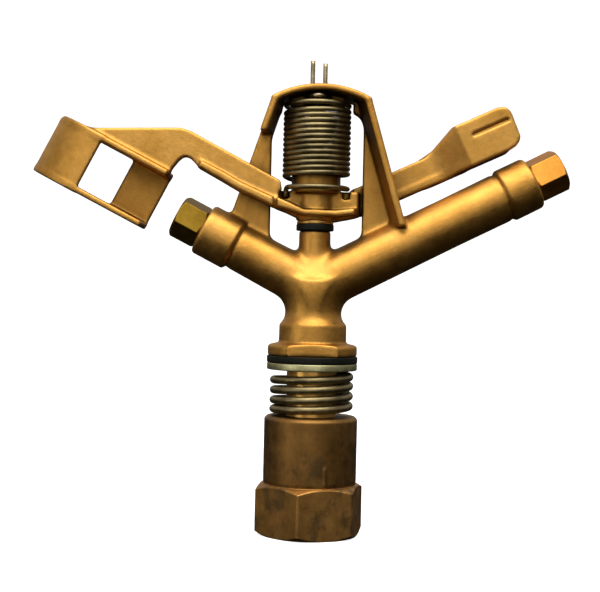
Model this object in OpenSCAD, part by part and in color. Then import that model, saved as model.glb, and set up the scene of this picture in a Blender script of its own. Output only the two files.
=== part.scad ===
// Impact sprinkler with two jets and a swinging arm. Millimetres, +Z up.
// The origin is the centre of the inlet mouth, on the bottom face of the sleeve.
// +X runs along the long tube, -X along the short tube and the spoon of the arm.

/* [Inlet] */
// Width across the flats of the inlet hexagon
hex_af = 39; // [38.4:0.2:42]
// Height of the inlet hexagon
hex_h = 20; // [17:0.5:24]
// Turn of the hexagon about the upright axis, in degrees
hex_turn = 18; // [0:1:60]
// Radius of the threaded bore in the mouth
inlet_r = 15.15; // [14.6:0.05:16]
// Depth of the threaded bore in the mouth
inlet_depth = 18; // [14:0.5:20]
// Outside radius of the sleeve above the hexagon
sleeve_r = 18.6; // [18.2:0.1:19]
// Height of the whole sleeve
sleeve_h = 47; // [46:0.5:52]

/* [Bearing] */
// Outside radius of the bearing nipple
nipple_r = 10; // [9.4:0.1:10.1]
// Radius of the water way in the nipple
nipple_bore_r = 8; // [7:0.1:8.4]
// Radial clearance of the nipple in the sleeve
run_gap = 0.05; // [0.02:0.01:0.1]
// Wire diameter of the bearing spring
bearing_wire = 3.2; // [2.6:0.1:3.2]
// Mean radius of the bearing spring
bearing_mean_r = 15.1; // [14.6:0.1:15.6]
// Height of the bearing spring as assembled
bearing_h = 18.4; // [18.2:0.2:22]
// Thickness of the metal washer that rides on the spring
spring_washer_t = 2.8; // [1.5:0.1:4]
// Thickness of the rubber dust washer
dust_washer_t = 2.8; // [1.5:0.1:4]

/* [Body] */
// Slope of both tubes above level, in degrees
tube_tilt = 27; // [26:0.5:28]
// Outside radius of the short tube
short_r = 9.5; // [9:0.1:10]
// Outside radius of the long tube
long_r = 10; // [9.5:0.1:10.5]
// Length of the short tube from the junction
short_l = 50.2; // [48:0.2:52]
// Length of the long tube from the junction
long_l = 97.2; // [85:0.2:110]
// Radius of the water way in both tubes
water_r = 5.8; // [5:0.1:6.2]
// Radius of the post under the arm
post_r = 6.3; // [5.5:0.1:6.8]
// Thickness of the webs of the bridge
web_t = 4.5; // [3.5:0.1:4.6]
// Thickness of the flange round the bridge
flange_t = 2.5; // [2:0.1:2.6]
// How far the flange of the bridge stands to the front
flange_front = 13; // [10:0.5:14]
// How far the flange of the bridge stands to the rear
flange_rear = 12; // [9:0.5:13]

/* [Nozzles] */
// Width across the flats of the nozzle hexagons
nozzle_af = 15.5; // [14:0.5:17]
// Radius of the orifice on the short side
short_orifice_r = 2; // [1.2:0.1:3]
// Radius of the orifice on the long side
long_orifice_r = 3; // [1.8:0.1:3.6]

/* [Arm] */
// Radius of the fulcrum pin
pin_r = 3; // [2.5:0.05:3.2]
// Thickness of each plate of the arm
plate_t = 4.6; // [3.5:0.1:5]
// Length of the spoon along the jet
spoon_l = 51; // [46:0.5:54]
// Depth of the spoon from front to rear
spoon_depth = 20; // [17:0.5:22]
// Wall thickness of the spoon
spoon_wall = 2.4; // [2:0.1:3]
// Wire diameter of the arm spring
arm_wire = 2; // [1.6:0.1:2]
// Mean radius of the arm spring
arm_mean_r = 12.6; // [12.2:0.1:12.6]

/* [Hidden] */
fine = 96;
press_gap = 0.02;

flange_top_z = 25.5;
shoulder_z = 34;
spring_top_z = sleeve_h + bearing_h;
dust_z = spring_top_z + spring_washer_t;
body_z = dust_z + dust_washer_t;
joint_z = body_z + 27;
post_top_z = joint_z + 22.8;
bushing_z = post_top_z + 2.6;
arm_z = bushing_z + 2.6;
hub_z = arm_z - 1.4;
arch_top_z = joint_z + 80;
arch_r = 40;
arch_x = 1.4;
arch_z = arch_top_z - arch_r;
arch_half = 19.7;
boss_r = 5.5;
cross_z = arch_top_z - 4.6;
pin_bottom_z = joint_z + 11;
crown_z = arch_top_z - 5.8;
left_crown_x = arch_half - arch_x;
right_crown_x = arch_half + arch_x;
left_foot_x = 34.2;
right_foot_x = 34.9;
web_y = web_t / 2;
flange_w = flange_t * 1.05;
window_left = -18;
window_right = 18.6;
window_z = arch_top_z - 16;
corner_r = 6.2;
spring_side_x = 14.2;
rib_x = 11;
rib_z = arch_top_z - 8.1;
socket_l = 11;
shank_r = 6.6;
short_hex_l = 11.4;
long_hex_l = 12.6;
spoon_start = 72;
spoon_low = -11.5;
spoon_high = 13.5;
arm_in_y = web_y + 0.15;
arm_out_y = arm_in_y + plate_t;
block_front = 4.6;
block_top = 10.5;
hub_top = 17.4;
guide_r = 9.8;
eye_y = -9.2;

// A plate with its outline in X and Z, from y0 to y1
module plate(points, y0, y1) {
    translate([0, y1, 0])
        rotate([90, 0, 0])
            linear_extrude(height = y1 - y0)
                polygon(points);
}

// A disc on an axis along Y, from y0 to y1
module disc_y(x, z, r, y0, y1) {
    translate([x, y1, z])
        rotate([90, 0, 0])
            cylinder(r = r, h = y1 - y0, $fn = fine);
}

// A round rod between two points
module rod(a, b, r) {
    d = b - a;
    l = norm(d);
    translate(a)
        rotate([0, acos(d[2] / l), atan2(d[1], d[0])])
            cylinder(r = r, h = l, $fn = 32);
}

// A round ring with a square section
module ring(z0, z1, r_in, r_out) {
    translate([0, 0, z0])
        difference() {
            cylinder(r = r_out, h = z1 - z0, $fn = fine);
            translate([0, 0, -1])
                cylinder(r = r_in, h = z1 - z0 + 2, $fn = fine);
        }
}

// The axis of the long tube, with local z out along it and local -x up
module long_side() {
    translate([0, 0, joint_z])
        rotate([0, 90 - tube_tilt, 0])
            children();
}

// The axis of the short tube, with local z out along it and local x up
module short_side() {
    translate([0, 0, joint_z])
        rotate([0, tube_tilt - 90, 0])
            children();
}

// A hexagonal bar on z with its corners turned off at both ends
module hex_bar(af, h, turn, bevel) {
    corner = af / 2 / cos(30);
    intersection() {
        rotate([0, 0, turn])
            cylinder(r = corner, h = h, $fn = 6);
        rotate_extrude($fn = fine)
            polygon([
                [0, 0], [af / 2 + 0.2, 0], [corner + 0.1, bevel],
                [corner + 0.1, h - bevel], [af / 2 + 0.2, h], [0, h]
            ]);
    }
}

// A wire swept through rows of angle, radius and height
module wire_sweep(path, wire_r, sides) {
    last = len(path) - 1;
    centre = [for (p = path) [p[1] * cos(p[0]), p[1] * sin(p[0]), p[2]]];
    points = [
        for (i = [0 : last])
            let(
                a = centre[max(i - 1, 0)],
                b = centre[min(i + 1, last)],
                t = (b - a) / norm(b - a),
                u = [cos(path[i][0]), sin(path[i][0]), 0],
                w0 = cross(t, u),
                w = w0 / norm(w0),
                v = cross(w, t)
            )
            for (k = [0 : sides - 1])
                centre[i] + wire_r * (cos(360 * k / sides) * v + sin(360 * k / sides) * w)
    ];
    walls = [
        for (i = [0 : last - 1])
            for (k = [0 : sides - 1])
                let(k2 = (k + 1) % sides)
                for (f = [
                    [i * sides + k, (i + 1) * sides + k, (i + 1) * sides + k2],
                    [i * sides + k, (i + 1) * sides + k2, i * sides + k2]
                ]) f
    ];
    caps = [
        [for (k = [0 : sides - 1]) k],
        [for (k = [sides - 1 : -1 : 0]) last * sides + k]
    ];
    polyhedron(points = points, faces = concat(walls, caps), convexity = 10);
}

module inlet_sleeve() {
    color([0.55, 0.40, 0.20])
    difference() {
        union() {
            hex_bar(hex_af, hex_h, hex_turn, 1.9);
            rotate_extrude($fn = fine)
                polygon([
                    [0, 1], [sleeve_r - 0.6, 1], [sleeve_r - 0.6, hex_h - 1],
                    [sleeve_r, hex_h + 0.5], [sleeve_r, sleeve_h - 1.2],
                    [sleeve_r - 1.2, sleeve_h], [0, sleeve_h]
                ]);
            rotate([0, 0, hex_turn - 90])
                translate([sleeve_r - 0.8, -0.6, hex_h - 2])
                    cube([1.4, 1.2, 10]);
        }
        translate([0, 0, -1])
            cylinder(r = inlet_r, h = inlet_depth + 1, $fn = fine);
        translate([0, 0, inlet_depth - 0.5])
            cylinder(r = 14.5, h = shoulder_z - inlet_depth + 0.5, $fn = fine);
        translate([0, 0, shoulder_z - 0.5])
            cylinder(r = nipple_r + run_gap, h = sleeve_h - shoulder_z + 1, $fn = fine);
    }
}

module lower_seal_washer() {
    color([0.08, 0.08, 0.08])
    ring(flange_top_z, 28.5, 10.4, 13.8);
}

module slip_washer() {
    color([0.93, 0.93, 0.90])
    ring(28.5, 30, 10.3, 13.8);
}

module upper_seal_washer() {
    color([0.08, 0.08, 0.08])
    ring(30, 32.5, 10.4, 13.8);
}

module thrust_ring() {
    color([0.80, 0.65, 0.35])
    ring(32.5, shoulder_z, 10.3, 13.9);
}

module bearing_spring() {
    color([0.48, 0.46, 0.36])
    wire_sweep(
        [
            for (i = [0 : 130])
                let(
                    turns = 4.1 * i / 130,
                    low = min(turns, 0.8),
                    mid = min(max(turns - 0.8, 0), 2.5),
                    top = max(turns - 3.3, 0),
                    closed = bearing_wire + 0.06,
                    open = (bearing_h - bearing_wire - 0.04 - 1.6 * closed) / 2.5
                )
                [
                    75 + 360 * turns,
                    bearing_mean_r,
                    sleeve_h + 0.02 + bearing_wire / 2 + (low + top) * closed + mid * open
                ]
        ],
        bearing_wire / 2,
        10
    );
}

module spring_washer() {
    color([0.78, 0.78, 0.62])
    ring(spring_top_z, dust_z, 10.3, 18);
}

module dust_washer() {
    color([0.07, 0.07, 0.07])
    ring(dust_z, body_z, 10.15, 18.1);
}

module bearing_nipple() {
    color([0.80, 0.62, 0.30])
    rotate_extrude($fn = fine)
        polygon([
            [nipple_bore_r, 22], [13, 22], [13.5, 22.5], [13.5, flange_top_z],
            [nipple_r, flange_top_z], [nipple_r, body_z + 15],
            [nipple_bore_r, body_z + 15]
        ]);
}

// Height at which a leg of the bridge meets the top of its tube
function foot_z(x) = joint_z + x * tan(tube_tilt) + 8 / cos(tube_tilt);

// The flange along the outside of a leg on the +X side
module flange(foot_x, crown_x, y0, y1) {
    plate([
        [foot_x - flange_w, foot_z(foot_x) - 1.3], [foot_x, foot_z(foot_x)],
        [crown_x, crown_z], [crown_x - flange_w, crown_z + 0.3]
    ], y0, y1);
}

// The end of a leg's flange that stands clear above the arm
module high_flange(foot_x, crown_x, y0, y1) {
    low_z = arch_top_z - 19;
    slope = (foot_x - crown_x) / (crown_z - foot_z(foot_x));
    low_x = crown_x + (crown_z - low_z) * slope;
    plate([
        [low_x, low_z], [crown_x, crown_z],
        [crown_x - flange_w, crown_z + 0.3], [low_x - flange_w, low_z]
    ], y0, y1);
}

// The web of the bridge: both legs and the rib under the arch, round one open window
module web() {
    mid_r = arch_r - 1.2;
    cut = acos((spring_side_x - window_right + corner_r) / corner_r);
    left_cut = acos((spring_side_x + window_left + corner_r) / corner_r);
    translate([0, web_y, 0])
        rotate([90, 0, 0])
            linear_extrude(height = web_t)
                difference() {
                    polygon(concat(
                        [[-left_foot_x, foot_z(left_foot_x)], [-left_crown_x, crown_z]],
                        [for (a = [-26 : 6.5 : 26]) [arch_x + mid_r * sin(a), arch_z + mid_r * cos(a)]],
                        [
                            [right_crown_x, crown_z], [right_foot_x, foot_z(right_foot_x)],
                            [window_right, foot_z(window_right)],
                            [window_left, foot_z(-window_left)]
                        ]
                    ));
                    polygon(concat(
                        [[window_left, joint_z + 10]],
                        [for (a = [0 : left_cut / 8 : left_cut + 0.01]) [
                            window_left + corner_r - corner_r * cos(a), window_z + corner_r * sin(a)
                        ]],
                        [
                            [-spring_side_x, arch_top_z - 3], [-rib_x, arch_top_z - 3],
                            [-rib_x, rib_z], [rib_x, rib_z],
                            [rib_x, arch_top_z - 3], [spring_side_x, arch_top_z - 3]
                        ],
                        [for (a = [cut : -cut / 8 : -0.01]) [
                            window_right - corner_r + corner_r * cos(a), window_z + corner_r * sin(a)
                        ]],
                        [[window_right, joint_z + 10]]
                    ));
                }
}

module bridge() {
    web();
    flange(right_foot_x, right_crown_x, -flange_front, web_y);
    high_flange(right_foot_x, right_crown_x, web_y - 0.5, flange_rear);
    mirror([1, 0, 0]) {
        flange(left_foot_x, left_crown_x, -web_y, flange_rear);
        high_flange(left_foot_x, left_crown_x, -flange_front, 0.5 - web_y);
    }
    difference() {
        intersection() {
            disc_y(arch_x, arch_z, arch_r, -flange_front, flange_rear);
            plate([
                [arch_x - arch_half - 0.4, arch_top_z - 12], [arch_x + arch_half + 0.4, arch_top_z - 12],
                [arch_x + arch_half + 0.4, arch_top_z + 1], [arch_x - arch_half - 0.4, arch_top_z + 1]
            ], -flange_front - 1, flange_rear + 1);
        }
        disc_y(arch_x, arch_z, arch_r - flange_t, -flange_front - 2, flange_rear + 2);
        // slot for the legs of the split pin
        translate([-3.8, 6.7, arch_top_z - 12])
            cube([8.3, 20, 20]);
    }
    // boss round the fulcrum pin
    translate([0, 0, arch_top_z - 7.4])
        cylinder(r = boss_r, h = 5.9, $fn = fine);
}

module sprinkler_body() {
    color([0.82, 0.64, 0.32])
    difference() {
        union() {
            rotate_extrude($fn = fine)
                polygon([
                    [0, body_z], [17.3, body_z], [17.7, body_z + 0.4],
                    [17.7, body_z + 3.7], [17.2, body_z + 4.2], [14.4, body_z + 4.2],
                    [13.4, body_z + 5.4], [13.4, body_z + 12.8], [12, body_z + 14.2],
                    [11.4, body_z + 15.4], [11.4, joint_z + 1], [9, joint_z + 8],
                    [post_r, joint_z + 11], [post_r, post_top_z - 0.5],
                    [post_r - 0.5, post_top_z], [0, post_top_z]
                ]);
            translate([0, 0, joint_z])
                sphere(r = 12, $fn = fine);
            short_side()
                cylinder(r = short_r, h = short_l - 14, $fn = fine);
            short_side()
                translate([0, 0, short_l - 14.4])
                    cylinder(r = short_r + 1, h = 14.4, $fn = fine);
            long_side()
                cylinder(r = long_r, h = long_l - 12, $fn = fine);
            long_side()
                translate([0, 0, long_l - 12.7])
                    cylinder(r = long_r + 0.7, h = 12.7, $fn = fine);
            bridge();
        }
        translate([0, 0, body_z - 1])
            cylinder(r = nipple_r + press_gap, h = 16.02, $fn = fine);
        translate([0, 0, body_z + 14])
            cylinder(r = nipple_bore_r - 0.4, h = 13, $fn = fine);
        translate([0, 0, joint_z])
            sphere(r = nipple_bore_r + 0.2, $fn = fine);
        short_side()
            cylinder(r = water_r, h = short_l + 1, $fn = fine);
        short_side()
            translate([0, 0, short_l - socket_l])
                cylinder(r = shank_r + press_gap, h = socket_l + 1, $fn = fine);
        long_side()
            cylinder(r = water_r, h = long_l + 1, $fn = fine);
        long_side()
            translate([0, 0, long_l - socket_l])
                cylinder(r = shank_r + press_gap, h = socket_l + 1, $fn = fine);
        translate([0, 0, pin_bottom_z])
            cylinder(r = pin_r + press_gap, h = 90, $fn = fine);
        disc_y(0, cross_z, 1, -8, 8);
        // hole for the upper end of the arm spring
        translate([arm_mean_r * cos(30), arm_mean_r * sin(30), arch_top_z - 10])
            cylinder(r = arm_wire / 2 + 0.5, h = 20, $fn = 32);
    }
}

// A nozzle with its seat on z = 0 and the water leaving along +z
module nozzle(orifice_r, hex_l, turn) {
    difference() {
        union() {
            hex_bar(nozzle_af, hex_l, turn, 1);
            translate([0, 0, 0.4 - socket_l])
                cylinder(r = shank_r, h = socket_l, $fn = fine);
        }
        rotate_extrude($fn = fine)
            polygon([
                [0, -12], [5.2, -12], [5.2, -4], [orifice_r, hex_l - 5],
                [orifice_r, hex_l - 1], [orifice_r + 0.8, hex_l + 1], [0, hex_l + 1]
            ]);
    }
}

module range_nozzle() {
    color([0.85, 0.62, 0.28])
    long_side()
        translate([0, 0, long_l])
            nozzle(long_orifice_r, long_hex_l, -12);
}

module spreader_nozzle() {
    color([0.62, 0.56, 0.26])
    short_side()
        translate([0, 0, short_l])
            nozzle(short_orifice_r, short_hex_l, 12);
}

module stream_straightener() {
    color([0.75, 0.75, 0.72])
    long_side()
        translate([0, 0, 44])
            intersection() {
                cylinder(r = water_r - 0.05, h = 34, $fn = fine);
                union() {
                    translate([-8, -0.5, -1])
                        cube([16, 1, 36]);
                    translate([-0.5, -8, -1])
                        cube([1, 16, 36]);
                }
            }
}

module fulcrum_pin() {
    color([0.72, 0.70, 0.64])
    difference() {
        translate([0, 0, pin_bottom_z])
            cylinder(r = pin_r, h = arch_top_z - 1 - pin_bottom_z, $fn = fine);
        disc_y(0, cross_z, 1, -6, 6);
    }
}

module split_pin() {
    color([0.62, 0.50, 0.34])
    union() {
        translate([0, eye_y, cross_z])
            rotate_extrude($fn = 48)
                translate([2.3, 0])
                    circle(r = 1.02, $fn = 32);
        rod([0, eye_y + 2, cross_z], [0, 6.8, cross_z], 0.94);
        for (leg = [[-1, 2.2, 12.3], [1, 2.9, 11.3]]) {
            knee = [leg[0] * 0.5, 6.7, cross_z];
            bend = [leg[0] * 1.8, 8.1, cross_z + 2.2];
            straight = [leg[0] * leg[1], 8.4, cross_z + 4.8];
            end = [leg[0] * leg[1], 8.4, arch_top_z + leg[2]];
            translate(knee)
                sphere(r = 1.08, $fn = 32);
            rod(knee, bend, 0.91);
            translate(bend)
                sphere(r = 0.98, $fn = 32);
            rod(bend, straight, 0.91);
            translate(straight)
                sphere(r = 0.98, $fn = 32);
            rod(straight, end, 0.91);
        }
    }
}

module arm_washer() {
    color([0.07, 0.07, 0.07])
    ring(post_top_z, bushing_z, pin_r + 0.05, 7.5);
}

module arm_bushing() {
    color([0.78, 0.60, 0.26])
    rotate_extrude($fn = fine)
        polygon([
            [pin_r + run_gap, bushing_z], [7.3, bushing_z], [7.3, hub_z],
            [4.5, hub_z], [4.5, arm_z + hub_top], [pin_r + run_gap, arm_z + hub_top]
        ]);
}

module arm_spring() {
    low_z = arm_z + block_top + 0.16 + arm_wire / 2;
    stack_z = arm_z + 15.6 + arm_wire / 2;
    top_z = arch_top_z - 6.15 - arm_wire / 2;
    coils = 12 + 220 / 360;
    pitch = arm_wire + 0.06;
    a0 = 197.7;
    a1 = 365;
    a2 = 520;
    a3 = a2 + 360 * coils;
    a4 = a3 + 150;
    a5 = a4 + 220;
    stack_top_z = stack_z + coils * pitch;
    color([0.50, 0.48, 0.38])
    wire_sweep(
        concat(
            [
                [a0, arm_mean_r, low_z - 3.7], [a0, arm_mean_r, low_z - 2],
                [a0 + 0.7, arm_mean_r, low_z - 1.23], [a0 + 2.7, arm_mean_r, low_z - 0.59],
                [a0 + 5.6, arm_mean_r, low_z - 0.15], [a0 + 9.1, arm_mean_r, low_z]
            ],
            [for (i = [1 : 10]) [a0 + 9.1 + (a1 - a0 - 9.1) * i / 10, arm_mean_r, low_z]],
            [for (i = [1 : 10]) [
                a1 + (a2 - a1) * i / 10,
                arm_mean_r,
                low_z + (stack_z - low_z) * i / 10
            ]],
            [for (i = [1 : 300]) [
                a2 + (a3 - a2) * i / 300,
                arm_mean_r,
                stack_z + (stack_top_z - stack_z) * i / 300
            ]],
            [for (i = [1 : 10]) [
                a3 + (a4 - a3) * i / 10,
                arm_mean_r,
                stack_top_z + (top_z - stack_top_z) * i / 10
            ]],
            [for (i = [1 : 16]) [a4 + (a5 - 9.1 - a4) * i / 16, arm_mean_r, top_z]],
            [
                [a5 - 5.6, arm_mean_r, top_z + 0.15], [a5 - 2.7, arm_mean_r, top_z + 0.59],
                [a5 - 0.7, arm_mean_r, top_z + 1.23], [a5, arm_mean_r, top_z + 2],
                [a5, arm_mean_r, top_z + 5.2]
            ]
        ),
        arm_wire / 2,
        8
    );
}

// The spoon, drawn with local z along the jet and local x up
module spoon() {
    u0 = spoon_start;
    u1 = spoon_start + spoon_l;
    uc = u1 - 20;
    v_all = spoon_high - spoon_low;
    half = spoon_depth / 2;
    short_side()
        difference() {
            union() {
                translate([spoon_high - spoon_wall, -half, u0])
                    cube([spoon_wall, spoon_depth, spoon_l]);
                translate([spoon_low, -half, u0])
                    cube([spoon_wall, spoon_depth, spoon_l]);
                translate([spoon_low, half - spoon_wall, u0])
                    cube([v_all, spoon_wall, 17]);
                translate([spoon_low, -half, uc - 2.2])
                    cube([v_all, spoon_wall, 2.7]);
                translate([spoon_low, 0, 0])
                    rotate([0, 90, 0])
                        linear_extrude(height = v_all)
                            difference() {
                                intersection() {
                                    translate([-uc, half])
                                        circle(r = 20.05, $fn = fine);
                                    translate([-u1 - 1, -half - 1])
                                        square([u1 + 1 - uc, spoon_depth + 1]);
                                }
                                translate([-uc, half])
                                    circle(r = 20 - spoon_wall, $fn = fine);
                            }
            }
            // the walls end flush with the outside of the curve
            translate([spoon_low - 1, 0, 0])
                rotate([0, 90, 0])
                    linear_extrude(height = v_all + 2)
                        difference() {
                            translate([-u1 - 2, -half - 2])
                                square([u1 + 2 - uc - 0.3, spoon_depth + 4]);
                            translate([-uc, half])
                                circle(r = 20, $fn = fine);
                        }
        }
}

module impact_arm() {
    up = arm_z;
    color([0.84, 0.66, 0.34])
    difference() {
        union() {
            translate([0, 0, hub_z])
                cylinder(r = 7.6, h = up + block_top - hub_z, $fn = fine);
            // the hub goes on as a guide inside the spring
            translate([0, 0, up + block_top - 1])
                cylinder(r = guide_r, h = hub_top - block_top + 1, $fn = fine);
            intersection() {
                translate([0, 0, hub_z - 1])
                    cylinder(r = 17.4, h = up + block_top - hub_z + 1, $fn = fine);
                union() {
                    plate([
                        [-17.6, up + 4], [-12, up + 2], [-5, hub_z + 0.3], [-3, hub_z],
                        [8, hub_z], [17.6, up + 0.8], [17.6, up + 11], [-17.6, up + 11]
                    ], -block_front, arm_out_y);
                    plate([
                        [-17.6, up + 4.4], [-12, up + 2.8], [-5, up + 0.6],
                        [8, up + 0.2], [17.6, up + 1.4], [17.6, up + 4], [8, up + 2.8],
                        [-4.5, up + 3], [-11.5, up + 6], [-17.6, up + 8.4]
                    ], -8.6, -2);
                }
            }
            difference() {
                union() {
                    // plate in front of the bridge, out to the spoon
                    plate([
                        [-14.5, up + 2.8], [-31, up + 10], [-37, up + 13.4], [-46.5, up + 18.6],
                        [-49.4, up + 21.6], [-52.2, up + 22.8], [-55, up + 20.8], [-58.6, up + 15.9],
                        [-90, up + 31.9], [-90, up + 33.3], [-52.5, up + 34], [-12, up + 13.1],
                        [-12, up + 11.4], [-14.5, up + 9.6]
                    ], -arm_out_y, -arm_in_y);
                    // plate behind the bridge, out to the counterweight
                    plate([
                        [12, up - 0.2], [20, up + 2], [36.5, up + 9.7], [76, up + 28.2],
                        [79.6, up + 31], [80.8, up + 34], [77.4, up + 43], [75, up + 45.2],
                        [71.6, up + 45.2], [54.6, up + 37.6], [46.8, up + 28], [43.3, up + 25.3],
                        [32.6, up + 20.3], [16.6, up + 12.8], [12.2, up + 11.4], [12, up + 9.6]
                    ], arm_in_y, arm_out_y);
                }
                translate([0, 0, up + block_top])
                    cylinder(r = spring_side_x, h = 10, $fn = fine);
            }
            plate([
                [-16.6, up + 3.6], [-31, up + 10], [-37, up + 13.4], [-46.5, up + 18.6],
                [-45.6, up + 21.2], [-36, up + 16.4], [-30, up + 13], [-16.6, up + 7.2]
            ], -arm_out_y - 3.5, -arm_in_y);
            plate([
                [16.6, up + 1.1], [20, up + 2], [36.5, up + 9.7], [76, up + 28.2],
                [74.8, up + 30.8], [35.4, up + 12.4], [16.6, up + 4]
            ], arm_in_y, arm_out_y + 3.5);
            intersection() {
                plate([
                    [44, up + 13.2], [76, up + 28.2], [79.6, up + 31], [80.8, up + 34],
                    [77.4, up + 43], [75, up + 45.2], [71.6, up + 45.2],
                    [54.6, up + 37.6], [46.8, up + 28], [44, up + 25.8]
                ], -6, arm_out_y);
                translate([0, 0, up])
                    rotate([0, -25, 0])
                        translate([0, 0, -30])
                            linear_extrude(height = 80)
                                polygon([
                                    [54, arm_out_y], [54, arm_in_y], [65, -4.5],
                                    [110, -4.5], [110, arm_out_y]
                                ]);
            }
            spoon();
        }
        translate([0, 0, hub_z - 1])
            cylinder(r = 4.5 + press_gap, h = 30, $fn = fine);
        // open-fronted holes for the lower end of the arm spring
        for (a = [197.7, 342.3])
            rotate([0, 0, a])
                translate([arm_mean_r, 0, up + 7.4])
                    cylinder(r = arm_wire / 2 + 0.5, h = 20, $fn = 32);
        // shallow groove along the counterweight
        translate([61.5, -4.5, up + 34])
            rotate([0, -25, 0])
                translate([0, -1, -0.7])
                    cube([16, 1.8, 1.4]);
    }
}

inlet_sleeve();
lower_seal_washer();
slip_washer();
upper_seal_washer();
thrust_ring();
bearing_spring();
spring_washer();
dust_washer();
bearing_nipple();
sprinkler_body();
range_nozzle();
spreader_nozzle();
stream_straightener();
fulcrum_pin();
split_pin();
arm_washer();
arm_bushing();
arm_spring();
impact_arm();
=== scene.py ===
import math

import bpy
import numpy as np
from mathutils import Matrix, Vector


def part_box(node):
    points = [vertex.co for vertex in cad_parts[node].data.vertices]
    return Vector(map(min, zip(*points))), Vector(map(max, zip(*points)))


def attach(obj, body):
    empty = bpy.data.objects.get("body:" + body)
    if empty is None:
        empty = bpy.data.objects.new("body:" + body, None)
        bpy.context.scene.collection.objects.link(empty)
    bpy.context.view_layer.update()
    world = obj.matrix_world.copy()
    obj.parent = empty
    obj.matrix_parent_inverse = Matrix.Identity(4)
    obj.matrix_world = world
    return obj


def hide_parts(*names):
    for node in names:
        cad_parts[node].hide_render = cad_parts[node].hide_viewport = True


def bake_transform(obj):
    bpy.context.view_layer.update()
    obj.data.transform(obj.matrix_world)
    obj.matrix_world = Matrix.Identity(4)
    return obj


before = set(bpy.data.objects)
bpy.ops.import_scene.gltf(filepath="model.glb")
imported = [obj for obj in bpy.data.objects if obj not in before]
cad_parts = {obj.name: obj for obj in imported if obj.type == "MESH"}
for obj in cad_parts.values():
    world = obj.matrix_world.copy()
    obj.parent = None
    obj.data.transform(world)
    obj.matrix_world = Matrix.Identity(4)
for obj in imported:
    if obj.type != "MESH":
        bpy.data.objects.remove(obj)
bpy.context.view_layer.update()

import openvdb
from mathutils import Matrix, Vector

# The looks of an impact sprinkler. Lengths are millimetres, turned into metres where a mesh
# is made, except in the studio at the end. The main levels come from the CAD nodes.
MM = 0.001


def low(node):
    return np.array(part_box(node)[0]) * 1000


def high(node):
    return np.array(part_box(node)[1]) * 1000


SLEEVE_TOP = high("inlet_sleeve")[2]
WASHER_Z = low("spring_washer")[2]
BODY_Z = low("sprinkler_body")[2]
JOINT_Z = BODY_Z + 27
POST_TOP = low("arm_washer")[2]
BUSH_Z = low("arm_bushing")[2]
ARM_Z = BUSH_Z + 2.6
ARCH_TOP = high("sprinkler_body")[2]
CROSS_Z = ARCH_TOP - 4.6
HUB_TOP = high("arm_bushing")[2]
TILT = math.radians(27)
SHORT_L, LONG_L = 50.2, 97.2
SIXTH = math.radians(60)

# inlet hexagon, barrel of the sleeve, collar and post of the body, and water ways
HEX_AF, HEX_TURN, SLEEVE_R = 39, 18, 18.6
COLLAR_R, COLLAR_H, POST_R, WATER_R = 17.7, 4.2, 6.3, 5.8
SOCKET_L, NOZZLE_AF = 11, 15.5

# arm spring: wire, mean radius, and the side that other pieces keep clear of
SPRING_WIRE, SPRING_R, SPRING_SIDE = 2.0, 12.6, 14.2
SPRING_HOLE_R, LOWER_HOLE, SPARE_HOLE, UPPER_HOLE = 1.5, 197.7, 342.3, 30
BLOCK_TOP = ARM_Z + 10.5

# room that each washer leaves at its two faces
RUNNING_ROOM = 0.03


# ---------------------------------------------------------------- meshes

def make(name, points, faces, smooth=True):
    mesh = bpy.data.meshes.new(name)
    mesh.from_pydata((np.asarray(points, float) * MM).tolist(), [], faces)
    mesh.validate()
    mesh.polygons.foreach_set("use_smooth", [smooth] * len(mesh.polygons))
    ob = bpy.data.objects.new(name, mesh)
    bpy.context.scene.collection.objects.link(ob)
    return ob


def place_along(side):
    """Local z out along a tube, local x up and square to it, from the junction."""
    x = side * math.cos(TILT)
    z = (x, 0, math.sin(TILT))
    up = (-side * math.sin(TILT), 0, math.cos(TILT))
    m = Matrix.Identity(4)
    m.col[0][:3], m.col[1][:3], m.col[2][:3] = up, Vector(z).cross(Vector(up)), z
    m.col[3][:3] = (0, 0, JOINT_Z)
    return m


def moved(points, m):
    p = np.asarray(points, float)
    r = np.array(m)
    return p @ r[:3, :3].T + r[:3, 3]


def rounded(loop, r, steps=4):
    """A closed outline of (radius, height) rows with every corner rounded to r."""
    p = [np.array(q[:2], float) for q in loop]
    n, out = len(p), []
    for i in range(n):
        a, b, c = p[i - 1], p[i], p[(i + 1) % n]
        la, lc = np.linalg.norm(a - b), np.linalg.norm(c - b)
        cut = min(loop[i][2] if len(loop[i]) > 2 else r, la * 0.45, lc * 0.45)
        s, e = b + (a - b) / la * cut, b + (c - b) / lc * cut
        for k in range(steps + 1):
            t = k / steps
            out.append((1 - t) ** 2 * s + 2 * t * (1 - t) * b + t * t * e)
    return out


def refine(rows, step):
    out = []
    n = len(rows)
    for i in range(n):
        a, b = rows[i], rows[(i + 1) % n]
        k = max(1, int(math.ceil(np.linalg.norm(b - a) / step)))
        out += [a + (b - a) * j / k for j in range(k)]
    return out


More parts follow.
